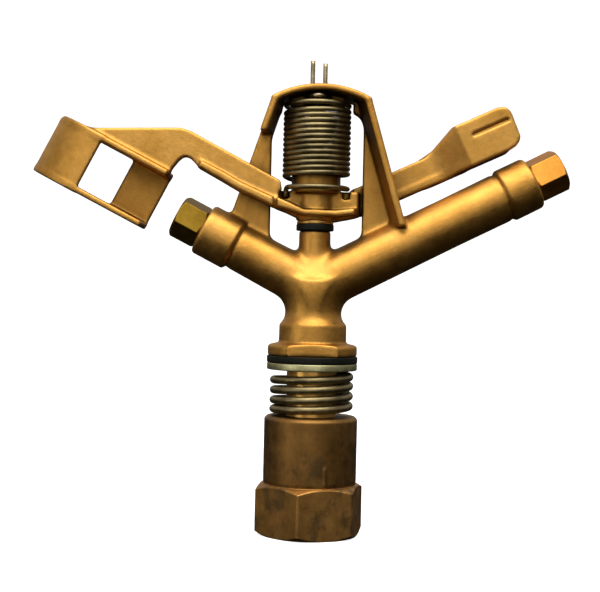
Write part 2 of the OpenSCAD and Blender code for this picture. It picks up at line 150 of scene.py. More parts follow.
def spun(name, loop, r=0.25, seg=192, at=None, hex_af=None, turn=0.0, hex_span=None, soft=0.35):
    """A turned piece from a closed outline. hex_span is two heights and a least radius: the
    rows between them are held inside a hexagon, with the curved corners of a real one."""
    rows = rounded(loop, r)
    if hex_af:
        rows = refine(rows, 0.6)
    ang = np.linspace(0, 2 * math.pi, seg, endpoint=False)
    points = []
    for q in rows:
        radius = np.full(seg, q[0])
        if hex_af and hex_span[0] - 1e-6 <= q[1] <= hex_span[1] + 1e-6 and q[0] > hex_span[2]:
            a = np.mod(ang - math.radians(turn), SIXTH) - SIXTH / 2
            flat = hex_af / 2 / np.cos(a)
            h = np.clip(0.5 + 0.5 * (flat - radius) / soft, 0, 1)
            radius = flat * (1 - h) + radius * h - soft * h * (1 - h)
        points.append(np.stack([radius * np.cos(ang), radius * np.sin(ang), np.full(seg, q[1])], 1))
    points = np.concatenate(points)
    if at is not None:
        points = moved(points, at)
    n = len(rows)
    faces = []
    for i in range(n):
        j = (i + 1) % n
        for k in range(seg):
            l = (k + 1) % seg
            faces.append((i * seg + k, i * seg + l, j * seg + l, j * seg + k))
    return fix_normals(make(name, points, faces))


def fix_normals(ob):
    """Turns a closed mesh inside out if its volume is negative."""
    me = ob.data
    me.calc_loop_triangles()
    co = np.zeros(len(me.vertices) * 3)
    me.vertices.foreach_get("co", co)
    co = co.reshape(-1, 3)
    tri = np.zeros(len(me.loop_triangles) * 3, int)
    me.loop_triangles.foreach_get("vertices", tri)
    t = co[tri.reshape(-1, 3)]
    if np.einsum("ij,ij->i", t[:, 0], np.cross(t[:, 1], t[:, 2])).sum() < 0:
        me.flip_normals()
    return ob


def washer(name, node, r_in, r_out, r=0.3):
    z0, z1 = low(node)[2] + RUNNING_ROOM, high(node)[2] - RUNNING_ROOM
    return spun(name, [(r_in, z0), (r_out, z0), (r_out, z1), (r_in, z1)], r)


def sweep(name, path, section, side):
    """A closed wire: section rows (across, up) swept along path, with side(t, p) across."""
    path = np.asarray(path, float)
    n, m = len(path), len(section)
    t = np.gradient(path, axis=0)
    t /= np.linalg.norm(t, axis=1)[:, None]
    u = np.array([side(a, b) for a, b in zip(t, path)])
    u -= t * (u * t).sum(1)[:, None]
    u /= np.linalg.norm(u, axis=1)[:, None]
    w = np.cross(t, u)
    sec = np.asarray(section, float)
    across, up = sec[None, :, 0, None] * u[:, None], sec[None, :, 1, None] * w[:, None]
    points = (path[:, None] + across + up).reshape(-1, 3)
    faces = [
        (i * m + k, i * m + (k + 1) % m, (i + 1) * m + (k + 1) % m, (i + 1) * m + k)
        for i in range(n - 1) for k in range(m)
    ]
    faces += [tuple(range(m))[::-1], tuple((n - 1) * m + k for k in range(m))]
    return fix_normals(make(name, points, faces))


def wire(r, n=16):
    """The round section of a wire."""
    return [(r * math.cos(2 * math.pi * k / n), r * math.sin(2 * math.pi * k / n)) for k in range(n)]


def outward(t, p):
    """The side of a coil that faces away from its axis."""
    return np.array([p[0], p[1], 0]) / math.hypot(p[0], p[1])


def helix(rows, step=5.0):
    """Points of a wire from rows of (angle in degrees, radius, height), smoothed."""
    rows = np.array(rows, float)
    a = np.arange(rows[0, 0], rows[-1, 0] + 1e-6, step)
    r = np.interp(a, rows[:, 0], rows[:, 1])
    z = np.interp(a, rows[:, 0], rows[:, 2])
    k = np.ones(9) / 9
    z = np.convolve(np.pad(z, 4, mode="edge"), k, mode="valid")
    a = np.radians(a)
    return np.stack([r * np.cos(a), r * np.sin(a), z], 1)


# ------------------------------------------------- castings from distance fields

def seg_poly(px, pz, pts):
    """Signed distance to a closed outline, negative inside."""
    d = np.full(np.broadcast(px, pz).shape, 1e9, np.float32)
    inside = np.zeros(d.shape, bool)
    n = len(pts)
    for i in range(n):
        ax, az = pts[i]
        bx, bz = pts[(i + 1) % n]
        ex, ez = bx - ax, bz - az
        wx, wz = px - ax, pz - az
        t = np.clip((wx * ex + wz * ez) / (ex * ex + ez * ez + 1e-12), 0, 1)
        d = np.minimum(d, (wx - t * ex) ** 2 + (wz - t * ez) ** 2)
        if az != bz:
            cross = ((az > pz) != (bz > pz)) & (px < ex * (pz - az) / (bz - az) + ax)
            inside ^= cross
    d = np.sqrt(d)
    return np.where(inside, -d, d)


def smin(a, b, k):
    h = np.clip(0.5 + 0.5 * (b - a) / k, 0, 1)
    return b * (1 - h) + a * h - k * h * (1 - h)


def both(a, b):
    """Where both fields are inside, with true distances outside corners."""
    return np.minimum(np.maximum(a, b), 0) + np.sqrt(np.maximum(a, 0) ** 2 + np.maximum(b, 0) ** 2)


def span(v, a, b):
    return np.abs(v - (a + b) / 2) - (b - a) / 2


class Field:
    """A box of samples at spacing h, in millimetres."""

    def __init__(self, lo, hi, h):
        self.lo, self.h = np.array(lo, float), h
        n = np.ceil((np.array(hi) - self.lo) / h).astype(int) + 1
        g = [self.lo[i] + h * np.arange(n[i]) for i in range(3)]
        self.x = g[0].astype(np.float32)[:, None, None]
        self.y = g[1].astype(np.float32)[None, :, None]
        self.z = g[2].astype(np.float32)[None, None, :]
        self.shape = tuple(n)

    def plate(self, pts, y0, y1, r=0.0):
        d2 = seg_poly(self.x, self.z, pts)
        return both(d2 + r, span(self.y, y0, y1) + r) - r

    def mesh(self, name, d, blur=3):
        d = np.broadcast_to(d, self.shape).astype(np.float32)
        d = np.clip(d, -6, 6)
        for _ in range(blur):
            for axis in range(3):
                p = np.concatenate([np.take(d, [0], axis), d, np.take(d, [-1], axis)], axis)
                n = d.shape[axis]
                a = np.take(p, range(0, n), axis)
                c = np.take(p, range(2, n + 2), axis)
                d = 0.25 * a + 0.5 * d + 0.25 * c
        d = np.clip(d, -2.5 * self.h, 2.5 * self.h)
        grid = openvdb.FloatGrid(float(2.5 * self.h))
        grid.copyFromArray(np.ascontiguousarray(d))
        points, quads = grid.convertToQuads(0.0)
        points = np.asarray(points) * self.h + self.lo
        return fix_normals(make(name, points, np.asarray(quads).tolist()))


def along(f, side):
    """Fields of the place along a tube, the height above it and the distance from its axis."""
    c, s = math.cos(TILT), math.sin(TILT)
    dz = f.z - JOINT_Z
    u = side * f.x * c + dz * s
    v = -side * f.x * s + dz * c
    return u, v, np.sqrt(v * v + f.y * f.y)


def tube(f, side, rows):
    """A round tube whose radius changes along it, from rows of (place, radius)."""
    u, v, rho = along(f, side)
    radius = np.interp(u, [q[0] for q in rows], [q[1] for q in rows]).astype(np.float32)
    d = rho - radius
    return np.maximum(np.maximum(d, u - rows[-1][0]), -u - 3)


def bore(f, side, r, start):
    u, v, rho = along(f, side)
    return np.maximum(rho - r, start - u)


CROWN_Z = ARCH_TOP - 5.8
ARCH_R, ARCH_X, ARCH_HALF, FLANGE = 40.0, 1.4, 19.7, 2.5
ARCH_Z = ARCH_TOP - ARCH_R
LEFT, RIGHT = -1, 1
CROWN_X = {LEFT: ARCH_HALF - ARCH_X, RIGHT: ARCH_HALF + ARCH_X}
FOOT_X = {LEFT: 34.2, RIGHT: 34.9}
WINDOW_X = {LEFT: 18.0, RIGHT: 18.6}
WEB, FRONT, REAR = 2.25, -13, 12


def foot_z(x):
    """Height where a leg of the bridge meets the top of its tube."""
    return JOINT_Z + x * math.tan(TILT) + 8 / math.cos(TILT)


def arch_arc(radius, half, n=25):
    x = np.linspace(-half, half, n)
    return [(ARCH_X + q, ARCH_Z + math.sqrt(radius ** 2 - q * q)) for q in x]


def corner_arc(side, n=9):
    """The rounded upper corner of the window, from the leg to the side of the spring."""
    r = 6.2
    x, z = WINDOW_X[side] - r, ARCH_TOP - 16
    a = np.linspace(0, math.acos((SPRING_SIDE - x) / r), n)
    return [(side * (x + r * math.cos(t)), z + r * math.sin(t)) for t in a]


def web_field(f):
    """The web: two legs and a rib under the arch round one open window."""
    outer = [(-FOOT_X[LEFT], foot_z(FOOT_X[LEFT])), (-CROWN_X[LEFT], CROWN_Z)]
    outer += arch_arc(ARCH_R - 1.2, 17, 9)
    outer += [(CROWN_X[RIGHT], CROWN_Z), (FOOT_X[RIGHT], foot_z(FOOT_X[RIGHT])),
              (WINDOW_X[RIGHT], foot_z(WINDOW_X[RIGHT])), (-WINDOW_X[LEFT], foot_z(WINDOW_X[LEFT]))]
    top, rib, rib_z = ARCH_TOP - 3, 11.0, ARCH_TOP - 8.1
    window = [(-WINDOW_X[LEFT], JOINT_Z + 10)] + corner_arc(LEFT)
    window += [(-SPRING_SIDE, top), (-rib, top), (-rib, rib_z), (rib, rib_z), (rib, top),
               (SPRING_SIDE, top)]
    window += corner_arc(RIGHT)[::-1] + [(WINDOW_X[RIGHT], JOINT_Z + 10)]
    flat = np.maximum(seg_poly(f.x, f.z, outer), -seg_poly(f.x, f.z, window))
    return both(flat + 0.3, span(f.y, -WEB, WEB) + 0.3) - 0.3


def flange_field(f, side, front, rear, low_z):
    """The flange along a leg: straight outside, and thicker towards the web inside."""
    rise, run = CROWN_Z - foot_z(FOOT_X[side]), FOOT_X[side] - CROWN_X[side]
    norm = math.hypot(rise, run)
    out = ((side * f.x - CROWN_X[side]) * rise + (f.z - CROWN_Z) * run) / norm
    tip, root, depth = 2.7, 4.9, 10.8
    thick = tip + (root - tip) * np.clip(1 - (np.abs(f.y) - WEB) / depth, 0, 1)
    slab = np.maximum(out, -out - thick)
    slab = both(slab + 0.3, span(f.y, front, rear) + 0.3) - 0.3
    return both(slab, span(f.z, low_z, CROWN_Z + 0.5))


def bridge_field(f):
    """The arch with its slot for the split pin and its boss, and the two flanged legs."""
    inner = arch_arc(ARCH_R - FLANGE, ARCH_HALF - 2.2)[::-1]
    arch = f.plate(arch_arc(ARCH_R, ARCH_HALF + 0.2) + inner, FRONT, REAR, 0.3)
    slot = both(both(span(f.x, -3.8, 4.5), 6.7 - f.y), ARCH_TOP - 12 - f.z)
    d = np.maximum(arch, -slot)
    r = np.sqrt(f.x ** 2 + f.y ** 2)
    boss = both(r - 5.5, span(f.z, ARCH_TOP - 7.4, ARCH_TOP - 1.5))
    d = smin(d, boss, 0.8)
    legs = web_field(f)
    # the flange of the right leg is in front and that of the left leg behind, and only the
    # top of each stands on the other side too
    for side, front, rear, high_front, high_rear in (
            (RIGHT, FRONT, WEB, 0, REAR), (LEFT, -WEB, REAR, FRONT, 0)):
        full = flange_field(f, side, front, rear, foot_z(FOOT_X[side]) - 2)
        high = flange_field(f, side, high_front, high_rear, ARCH_TOP - 19)
        legs = smin(legs, np.minimum(full, high), 0.7)
    return smin(d, legs, 0.7)


def spring_hole(f, angle, from_z):
    """The hole for an end of the arm spring, upwards from from_z."""
    a = math.radians(angle)
    x, y = SPRING_R * math.cos(a), SPRING_R * math.sin(a)
    return np.maximum(np.sqrt((f.x - x) ** 2 + (f.y - y) ** 2) - SPRING_HOLE_R, from_z - f.z)


def body_piece(h):
    """The body casting, sampled at spacing h."""
    f = Field((-66, -15, BODY_Z - 2), (104, 14, ARCH_TOP + 2), h)
    r = np.sqrt(f.x ** 2 + f.y ** 2)
    z = f.z
    b = BODY_Z
    # neck and collar, as a radius that changes with height
    nz = [b, b + COLLAR_H, b + 4.6, b + 5.2, b + 12.4, b + 12.8, b + 13.6, b + 15.2, b + 17, JOINT_Z + 4]
    nr = [COLLAR_R, COLLAR_R, 14.6, 13.5, 13.4, 13.1, 12.2, 11.5, 11.2, 11.1]
    neck = np.maximum(r - np.interp(z, nz, nr).astype(np.float32), np.maximum(b - z, z - JOINT_Z - 2))
    flange = both(r - COLLAR_R + 0.3, span(z, b, b + COLLAR_H) + 0.3) - 0.3
    short = tube(f, -1, [(0, 9.8), (SHORT_L - 16, 9.2), (SHORT_L - 15.2, 8.7),
                         (SHORT_L - 14.6, 8.9), (SHORT_L - 14.3, 10.5), (SHORT_L - 0.8, 10.5),
                         (SHORT_L, 9.9)])
    long = tube(f, 1, [(0, 10.3), (60, 9.9), (LONG_L - 14.4, 10.0), (LONG_L - 13.6, 9.4),
                       (LONG_L - 13.0, 9.5), (LONG_L - 12.7, 10.8), (LONG_L - 0.8, 10.7),
                       (LONG_L, 10.1)])
    d = smin(short, long, 3.0)
    d = smin(d, neck, 4.5)
    d = np.minimum(d, neck)
    d = smin(d, flange, 0.5)
    post = np.maximum(r - POST_R, np.maximum(JOINT_Z - z, z - POST_TOP))
    d = smin(d, post, 3.2)
    d = np.maximum(d, np.where(r < 9, z - POST_TOP, -9))
    d = smin(d, bridge_field(f), 2.2)
    # water ways, sockets and pin holes
    d = np.maximum(d, -np.maximum(r - 10.02, z - b - 15))
    d = np.maximum(d, -np.maximum(r - 7.6, z - JOINT_Z))
    d = np.maximum(d, -(np.sqrt(r ** 2 + (z - JOINT_Z) ** 2) - 8.0))
    for s, l in ((-1, SHORT_L), (1, LONG_L)):
        d = np.maximum(d, -bore(f, s, WATER_R, 0))
        d = np.maximum(d, -bore(f, s, 6.65, l - SOCKET_L))
    d = np.maximum(d, -np.maximum(r - 3.03, JOINT_Z + 11 - z))
    d = np.maximum(d, -spring_hole(f, UPPER_HOLE, ARCH_TOP - 10))
    return f.mesh("body_casting", d, 2)


def arm_piece(h):
    """The casting of the arm with its spoon, sampled at spacing h."""
    f = Field((-118, -13, JOINT_Z + 19), (83, 13, ARM_Z + 48), h)
    u0 = ARM_Z
    y_in, y_out, rib_out, paddle_y = 2.4, 7.0, 10.5, -4.5
    z = f.z
    r = np.sqrt(f.x ** 2 + f.y ** 2)
    hub_z = u0 - 1.4
    hub = both(r - 7.6, span(z, hub_z, BLOCK_TOP))
    # the hub goes on as a guide inside the spring
    guide = both(r - 9.8 + 0.4, span(z, BLOCK_TOP - 1, HUB_TOP) + 0.4) - 0.4
    # the block round the hub, with a rib along its front
    block = f.plate([(-17.6, u0 + 4), (-12, u0 + 2), (-5, hub_z + 0.3), (-3, hub_z), (8, hub_z),
                     (17.6, u0 + 0.8), (17.6, BLOCK_TOP), (-17.6, BLOCK_TOP)], -4.6, y_out, 0.3)
    front_rib = f.plate([(-17.6, u0 + 4.4), (-12, u0 + 2.8), (-5, u0 + 0.6), (8, u0 + 0.2),
                         (17.6, u0 + 1.4), (17.6, u0 + 4), (8, u0 + 2.8), (-4.5, u0 + 3),
                         (-11.5, u0 + 6), (-17.6, u0 + 8.4)], -8.6, -2, 0.4)
    block = np.maximum(smin(block, front_rib, 0.8), r - 17.4)
    # the plate in front of the bridge, out to the spoon
    left = f.plate([(-14.5, u0 + 2.8), (-31, u0 + 10), (-37, u0 + 13.4), (-46.5, u0 + 18.6),
                    (-48.2, u0 + 20.4), (-49.6, u0 + 21.8), (-51, u0 + 22.6), (-52.6, u0 + 22.6),
                    (-54.4, u0 + 21.2), (-58.6, u0 + 15.9), (-90, u0 + 31.9), (-90.5, u0 + 33.3),
                    (-60, u0 + 34.1), (-54, u0 + 34.2), (-50, u0 + 33), (-12, u0 + 13.1),
                    (-12, u0 + 11.4), (-14.5, u0 + 9.6)], -y_out, -y_in, 0.5)
    left_rib = f.plate([(-16.6, u0 + 3.6), (-31, u0 + 10), (-37, u0 + 13.4), (-46.5, u0 + 18.6),
                        (-45.6, u0 + 21.2), (-36, u0 + 16.4), (-30, u0 + 13), (-16.6, u0 + 7.2)],
                       -rib_out, -y_in, 0.5)
    # the plate behind the bridge, out to the paddle
    right = f.plate([(12, u0 - 0.2), (20, u0 + 2), (36.5, u0 + 9.7), (60, u0 + 20.6), (60, u0 + 38),
                     (54.6, u0 + 37.6), (46.8, u0 + 28), (43.3, u0 + 25.3), (32.6, u0 + 20.3),
                     (16.6, u0 + 12.8), (12.2, u0 + 11.4), (12, u0 + 9.6)], y_in, y_out, 0.5)
    # both plates stay clear of the lowest turns of the spring
    room = np.maximum(r - SPRING_SIDE, np.maximum(BLOCK_TOP - z, z - BLOCK_TOP - 10))
    left, right = np.maximum(left, -room), np.maximum(right, -room)
    right_rib = f.plate([(16.6, u0 + 1.1), (20, u0 + 2), (36.5, u0 + 9.7), (76, u0 + 28.2),
                         (74.8, u0 + 30.8), (35.4, u0 + 12.4), (16.6, u0 + 4)], y_in, rib_out, 0.5)
    paddle = f.plate([(42, u0 + 12.3), (76.5, u0 + 28.4), (79.2, u0 + 30.2), (80.4, u0 + 32),
                      (80.8, u0 + 34.2), (77, u0 + 43.4), (75.8, u0 + 44.8), (74, u0 + 45.7),
                      (71.4, u0 + 45.4), (54.6, u0 + 37.6), (46.8, u0 + 28), (42, u0 + 24.7)],
                     paddle_y, y_out, 0.4)
    # the front face ramps up from the plate to the thick end, along the paddle
    ga = math.radians(25)
    t = f.x * math.cos(ga) + (z - u0) * math.sin(ga)
    slope = math.atan2(6.9, 10.9)
    paddle = np.maximum(paddle, -(f.y - paddle_y) * math.cos(slope) + (65.3 - t) * math.sin(slope))
    # spoon: local u along the jet, v square to it
    u, v, _ = along(f, -1)
    s0, s1, lo_v, hi_v, half, wall = 72.0, 123.0, -11.5, 13.5, 10.0, 2.4
    uc = s1 - 20
    # the walls end flush with the outside of the curve, and the far upper corner is rounded
    outer = np.maximum(np.sqrt(np.maximum(u - uc, 0) ** 2 + np.maximum(half - f.y, 0) ** 2) - 20, s0 - u)
    vm = (lo_v + hi_v) / 2
    qa, qb = u - (s1 - 5), np.abs(v - vm) - (hi_v - lo_v) / 2 + 3.4
    round_off = np.sqrt(np.maximum(qa - 0.8, 0) ** 2 + np.maximum(qb, 0) ** 2) - 3.6
    face = np.where((qa > 0) & (v > vm), round_off, -9)
    whole = np.maximum(np.maximum(outer, f.y - half), face)
    top = both(whole, span(v, hi_v - wall, hi_v))
    bottom = both(whole, span(v, lo_v, lo_v + wall))
    back = both(both(span(u, s0, s0 + 17), span(f.y, half - wall, half)), span(v, lo_v, hi_v))
    q = np.sqrt(np.maximum(u - uc, 0) ** 2 + (half - f.y) ** 2)
    vane = np.maximum(np.maximum(np.maximum(q - 20, 20 - wall - q), s0 + 28.8 - u), f.y - half)
    vane = np.maximum(both(vane, span(v, lo_v, hi_v)), face)
    spoon = smin(smin(top, bottom, 0.3), smin(back, vane, 0.3), 0.8)
    d = smin(left, left_rib, 1.4)
    d = smin(d, smin(smin(right, right_rib, 1.4), paddle, 2.0), 1.2)
    d = smin(d, block, 0.9)
    d = smin(d, hub, 0.9)
    # blends don't rise above the block's flat top under the spring
    d = np.minimum(np.where((r < 14.9) & (r > 9), np.maximum(d, z - BLOCK_TOP), d), guide)
    d = smin(d, spoon, 1.8)
    d = np.maximum(d, -(r - 4.52))
    for a in (LOWER_HOLE, SPARE_HOLE):
        d = np.maximum(d, -spring_hole(f, a, u0 + 7.4))
    # groove along the paddle
    gx, gz = f.x - 68.8, z - (u0 + 37.4)
    gu, gv = gx * math.cos(ga) + gz * math.sin(ga), -gx * math.sin(ga) + gz * math.cos(ga)
    groove = np.maximum(np.maximum(np.abs(gu) - 7.8, np.abs(gv) - 0.55), f.y + 3.4)
    d = np.maximum(d, -groove)
    return f.mesh("impact_arm_casting", d, 2)


# ---------------------------------------------------------------- materials

def ramp_node(nt, source, stops):
    n = nt.nodes.new("ShaderNodeValToRGB")
    e = n.color_ramp.elements
    while len(e) < len(stops):
        e.new(0.5)
    for el, (p, c) in zip(e, stops):
        el.position = p
        el.color = (c, c, c, 1) if isinstance(c, (int, float)) else (*c, 1)
    nt.links.new(source, n.inputs[0])
    return n


def span_node(nt, source, start, end):
    """Turns the values from start to end into 0 to 1."""
    n = nt.nodes.new("ShaderNodeMapRange")
    n.inputs["From Min"].default_value = start
    n.inputs["From Max"].default_value = end
    nt.links.new(source, n.inputs[0])
    return n


def noise(nt, coords, scale, detail=4, rough=0.5, stretch=None):
    if stretch:
        m = nt.nodes.new("ShaderNodeMapping")
        m.inputs["Scale"].default_value = stretch
        nt.links.new(coords, m.inputs[0])
        coords = m.outputs[0]
    n = nt.nodes.new("ShaderNodeTexNoise")
    n.inputs["Scale"].default_value = scale
    n.inputs["Detail"].default_value = detail
    n.inputs["Roughness"].default_value = rough
    nt.links.new(coords, n.inputs["Vector"])
    return n.outputs[0]


def mix(nt, fac, a, b, kind="MIX"):
    n = nt.nodes.new("ShaderNodeMix")
    n.data_type = "RGBA"
    n.blend_type = kind
    for s, v in ((0, fac), (6, a), (7, b)):
        if isinstance(v, bpy.types.NodeSocket):
            nt.links.new(v, n.inputs[s])
        elif s == 0:
            n.inputs[s].default_value = v
        else:
            n.inputs[s].default_value = (*v, 1)
    return n.outputs[2]


def surface(name, light, mid, dark, rough, blotch, bump, grain, metal=1.0, rings=0.0, stain=None,
            hollow_shade=False, gloss=0.5, height_tone=None):
    """One procedural finish: three colours in soft blotches, uneven roughness and fine bumps.
    stain is a colour for dark spots, hollow_shade paints shade into creases and hollows, rings are turning
    marks, and
    height_tone is (height, height, tone): between the heights the colour goes over to that tone."""
    m = bpy.data.materials.new(name)
    m.use_nodes = True
    nt = m.node_tree
    p = nt.nodes["Principled BSDF"]
    co = nt.nodes.new("ShaderNodeTexCoord").outputs["Object"]
    big = noise(nt, co, blotch, 5, 0.6)
    colour = ramp_node(nt, big, [(0.35, dark), (0.5, mid), (0.65, light)]).outputs[0]
    small = noise(nt, co, blotch * 9, 4, 0.6)
    speck = ramp_node(nt, small, [(0.3, 0.82), (0.7, 1.0)]).outputs[0]
    colour = mix(nt, 1.0, colour, speck, "MULTIPLY")
    if stain:
        s = noise(nt, co, blotch * 1.7, 6, 0.65, (1, 1, 0.6))
        f = ramp_node(nt, s, [(0.52, 0.0), (0.62, 1.0)]).outputs[0]
        colour = mix(nt, f, colour, stain)
    # the colour goes darker between the two heights and stays at that tone above them
    if height_tone:
        z = nt.nodes.new("ShaderNodeSeparateXYZ")
        nt.links.new(co, z.inputs[0])
        step = span_node(nt, z.outputs[2], height_tone[0] * MM, height_tone[1] * MM)
        f = ramp_node(nt, step.outputs[0], [(0.0, 1.0), (1.0, height_tone[2])]).outputs[0]
        colour = mix(nt, 1.0, colour, f, "MULTIPLY")
    # painted shade: the colour is darkened in creases, where pointiness is low, and in hollows that the
    # ambient occlusion finds
    if hollow_shade:
        g = nt.nodes.new("ShaderNodeNewGeometry").outputs["Pointiness"]
        f = ramp_node(nt, g, [(0.40, 0.45), (0.5, 1.0)]).outputs[0]
        colour = mix(nt, 1.0, colour, f, "MULTIPLY")
        occlusion_shade = nt.nodes.new("ShaderNodeAmbientOcclusion")
        occlusion_shade.samples = 8
        occlusion_shade.inputs["Distance"].default_value = 0.018
        f = ramp_node(nt, occlusion_shade.outputs["AO"], [(0.30, 0.16), (0.88, 1.0)]).outputs[0]
        colour = mix(nt, 1.0, colour, f, "MULTIPLY")
    nt.links.new(colour, p.inputs["Base Color"])
    p.inputs["Metallic"].default_value = metal
    rr = noise(nt, co, blotch * 4, 5, 0.6)
    rough_out = ramp_node(nt, rr, [(0.3, rough[0]), (0.7, rough[1])]).outputs[0]
    nt.links.new(rough_out, p.inputs["Roughness"])
    height = noise(nt, co, grain, 3, 0.6)
    if rings:
        turned = noise(nt, co, 1.0, 2, 0.5, (20, 20, 2600))
        height = mix(nt, rings, height, turned)
    b = nt.nodes.new("ShaderNodeBump")
    b.inputs["Strength"].default_value = bump
    b.inputs["Distance"].default_value = 0.0004
    nt.links.new(height, b.inputs["Height"])
    nt.links.new(b.outputs[0], p.inputs["Normal"])
    p.inputs["Specular IOR Level"].default_value = gloss
    return m


# cast brass, with painted shade darkening its creases and hollows
cast_brass = surface(
    "cast_brass", (0.72, 0.375, 0.085), (0.64, 0.32, 0.064), (0.52, 0.25, 0.045), (0.40, 0.52),
    45, 0.22, 900, hollow_shade=True)
# painted light: the body's cast brass, painted lighter on the arm for the stronger light up there, with the
# same painted shade in creases and hollows
arm_brass_lit = surface(
    "arm_brass_lit", (0.76, 0.40, 0.092), (0.68, 0.345, 0.070), (0.56, 0.275, 0.050), (0.40, 0.52),
    45, 0.22, 900, hollow_shade=True)
# the barrel above 21 mm is coloured darker than the hexagon below 20 mm
sleeve_brass = surface(
    "sleeve_brass", (0.58, 0.295, 0.080), (0.50, 0.250, 0.064), (0.41, 0.205, 0.052), (0.38, 0.52),
    55, 0.12, 1500, rings=0.4, stain=(0.25, 0.14, 0.05), height_tone=(20.0, 21.0, 0.60))
machined_brass = surface(
    "machined_brass", (0.70, 0.40, 0.10), (0.60, 0.33, 0.08), (0.46, 0.25, 0.06), (0.28, 0.40),
    70, 0.10, 1600, rings=0.6)
nozzle_orange = surface(
    "nozzle_orange", (0.78, 0.34, 0.055), (0.70, 0.29, 0.044), (0.58, 0.23, 0.034), (0.30, 0.44),
    90, 0.08, 1500)
nozzle_olive = surface(
    "nozzle_olive", (0.31, 0.185, 0.022), (0.26, 0.15, 0.017), (0.19, 0.11, 0.013), (0.34, 0.48),
    90, 0.10, 1500)
spring_steel = surface(
    "spring_steel", (0.36, 0.28, 0.13), (0.27, 0.21, 0.10), (0.16, 0.125, 0.06), (0.34, 0.48),
    110, 0.10, 2200)
pin_steel = surface(
    "pin_steel", (0.52, 0.46, 0.36), (0.42, 0.37, 0.28), (0.28, 0.25, 0.19), (0.24, 0.36),
    90, 0.06, 2200)
split_steel = surface(
    "split_steel", (0.62, 0.48, 0.30), (0.50, 0.38, 0.23), (0.34, 0.25, 0.14), (0.28, 0.42),
    150, 0.10, 2200)
zinc_yellow = surface(
    "zinc_yellow", (0.74, 0.68, 0.36), (0.62, 0.57, 0.29), (0.44, 0.40, 0.19), (0.34, 0.48),
    110, 0.08, 2000)
rubber = surface(
    "rubber", (0.012, 0.012, 0.008), (0.008, 0.008, 0.005), (0.005, 0.005, 0.003), (0.46, 0.64),
    90, 0.12, 1800, metal=0.0, gloss=0.15)
ptfe = surface(
    "ptfe", (0.86, 0.86, 0.82), (0.82, 0.82, 0.78), (0.74, 0.74, 0.70), (0.38, 0.52),
    90, 0.04, 1500, metal=0.0)
vane_plastic = surface(
    "vane_plastic", (0.70, 0.69, 0.64), (0.66, 0.65, 0.60), (0.58, 0.57, 0.52), (0.38, 0.52),
    90, 0.04, 1500, metal=0.0)


def finish_piece(ob, material, body, slot, *nodes):
    ob.data.materials.clear()
    ob.data.materials.append(material)
    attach(ob, body)
    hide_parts(*nodes)
    return ob


# ---------------------------------------------------------------- pieces

fine = 0.45

# inlet sleeve: hexagon, barrel, thread bore, chamber and journal in one turned outline
corner = HEX_AF / 2 / math.cos(SIXTH / 2)
sleeve = spun("sleeve", [
    (15.15, 0, 0.4), (19.7, 0, 0.3), (corner + 0.3, 2.0, 0.6), (corner + 0.3, 18.0, 0.6),
    (19.4, 20.0, 0.4), (18.4, 20.0, 0.4), (SLEEVE_R, 21.2, 0.8), (SLEEVE_R, SLEEVE_TOP - 1.1, 0.5),
    (17.5, SLEEVE_TOP, 0.4), (10.05, SLEEVE_TOP, 0.3), (10.05, 34, 0.1), (14.5, 34, 0.2),
    (14.5, 18, 0.2), (15.15, 18, 0.2)],
    0.3, 288, None, HEX_AF, HEX_TURN, (0, 20.01, 18.7))
# the parting ridge on the front of the barrel
for v in sleeve.data.vertices:
    x, y, z = v.co / MM
    off = abs(math.atan2(y, x) - math.radians(HEX_TURN - 90)) * SLEEVE_R
    if off < 1.0 and 18.4 < math.hypot(x, y) < 18.7 and 20.5 < z < 29:
        v.co.xy *= 1 + 0.022 * (1 - off) * min(1, 29 - z)
finish_piece(sleeve, sleeve_brass, "inlet", "sleeve_brass", "inlet_sleeve")

for name, cad_node, material, slot in (
        ("lower_seal", "lower_seal_washer", rubber, "seal_rubber"),
        ("slip_ring", "slip_washer", ptfe, "slip_ptfe"),
        ("upper_seal", "upper_seal_washer", rubber, "seal_rubber")):
    finish_piece(washer(name, cad_node, 10.4, 13.8, 0.25), material, "inlet", slot, cad_node)
finish_piece(washer("thrust_face_ring", "thrust_ring", 10.3, 13.9, 0.2), machined_brass,
             "inlet", "machined_brass", "thrust_ring")

# bearing spring, with closed ends
bw, br = 3.2, 15.1
z0, z1 = SLEEVE_TOP + bw / 2, WASHER_Z - bw / 2
end_turns, open_turns, closed_pitch = 0.8, 2.5, 3.26
rise = (z1 - z0 - 2 * end_turns * closed_pitch) / open_turns
low_end = z0 + end_turns * closed_pitch
path = helix([(75, br, z0), (75 + 288, br, low_end), (75 + 288 + 900, br, low_end + open_turns * rise),
              (75 + 1476, br, z1)], 5)
bearing = sweep("bearing_coil", path, wire(bw / 2, 18), outward)
bearing.data.materials.append(spring_steel)
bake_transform(bearing)
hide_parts("bearing_spring")

finish_piece(washer("pale_washer", "spring_washer", 10.3, 18, 0.45), zinc_yellow,
             "thrust_stack", "passivated_steel", "spring_washer")
finish_piece(washer("black_washer", "dust_washer", 10.15, 18.1, 0.6), rubber,
             "head", "seal_rubber", "dust_washer")

nipple = spun("nipple", [(8, 22), (13.5, 22), (13.5, 25.5), (10, 25.5), (10, BODY_Z + 15),
                         (8, BODY_Z + 15)], 0.2)
finish_piece(nipple, machined_brass, "head", "machined_brass", "bearing_nipple")

casting = body_piece(fine)
finish_piece(casting, cast_brass, "head", "cast_brass", "sprinkler_body")

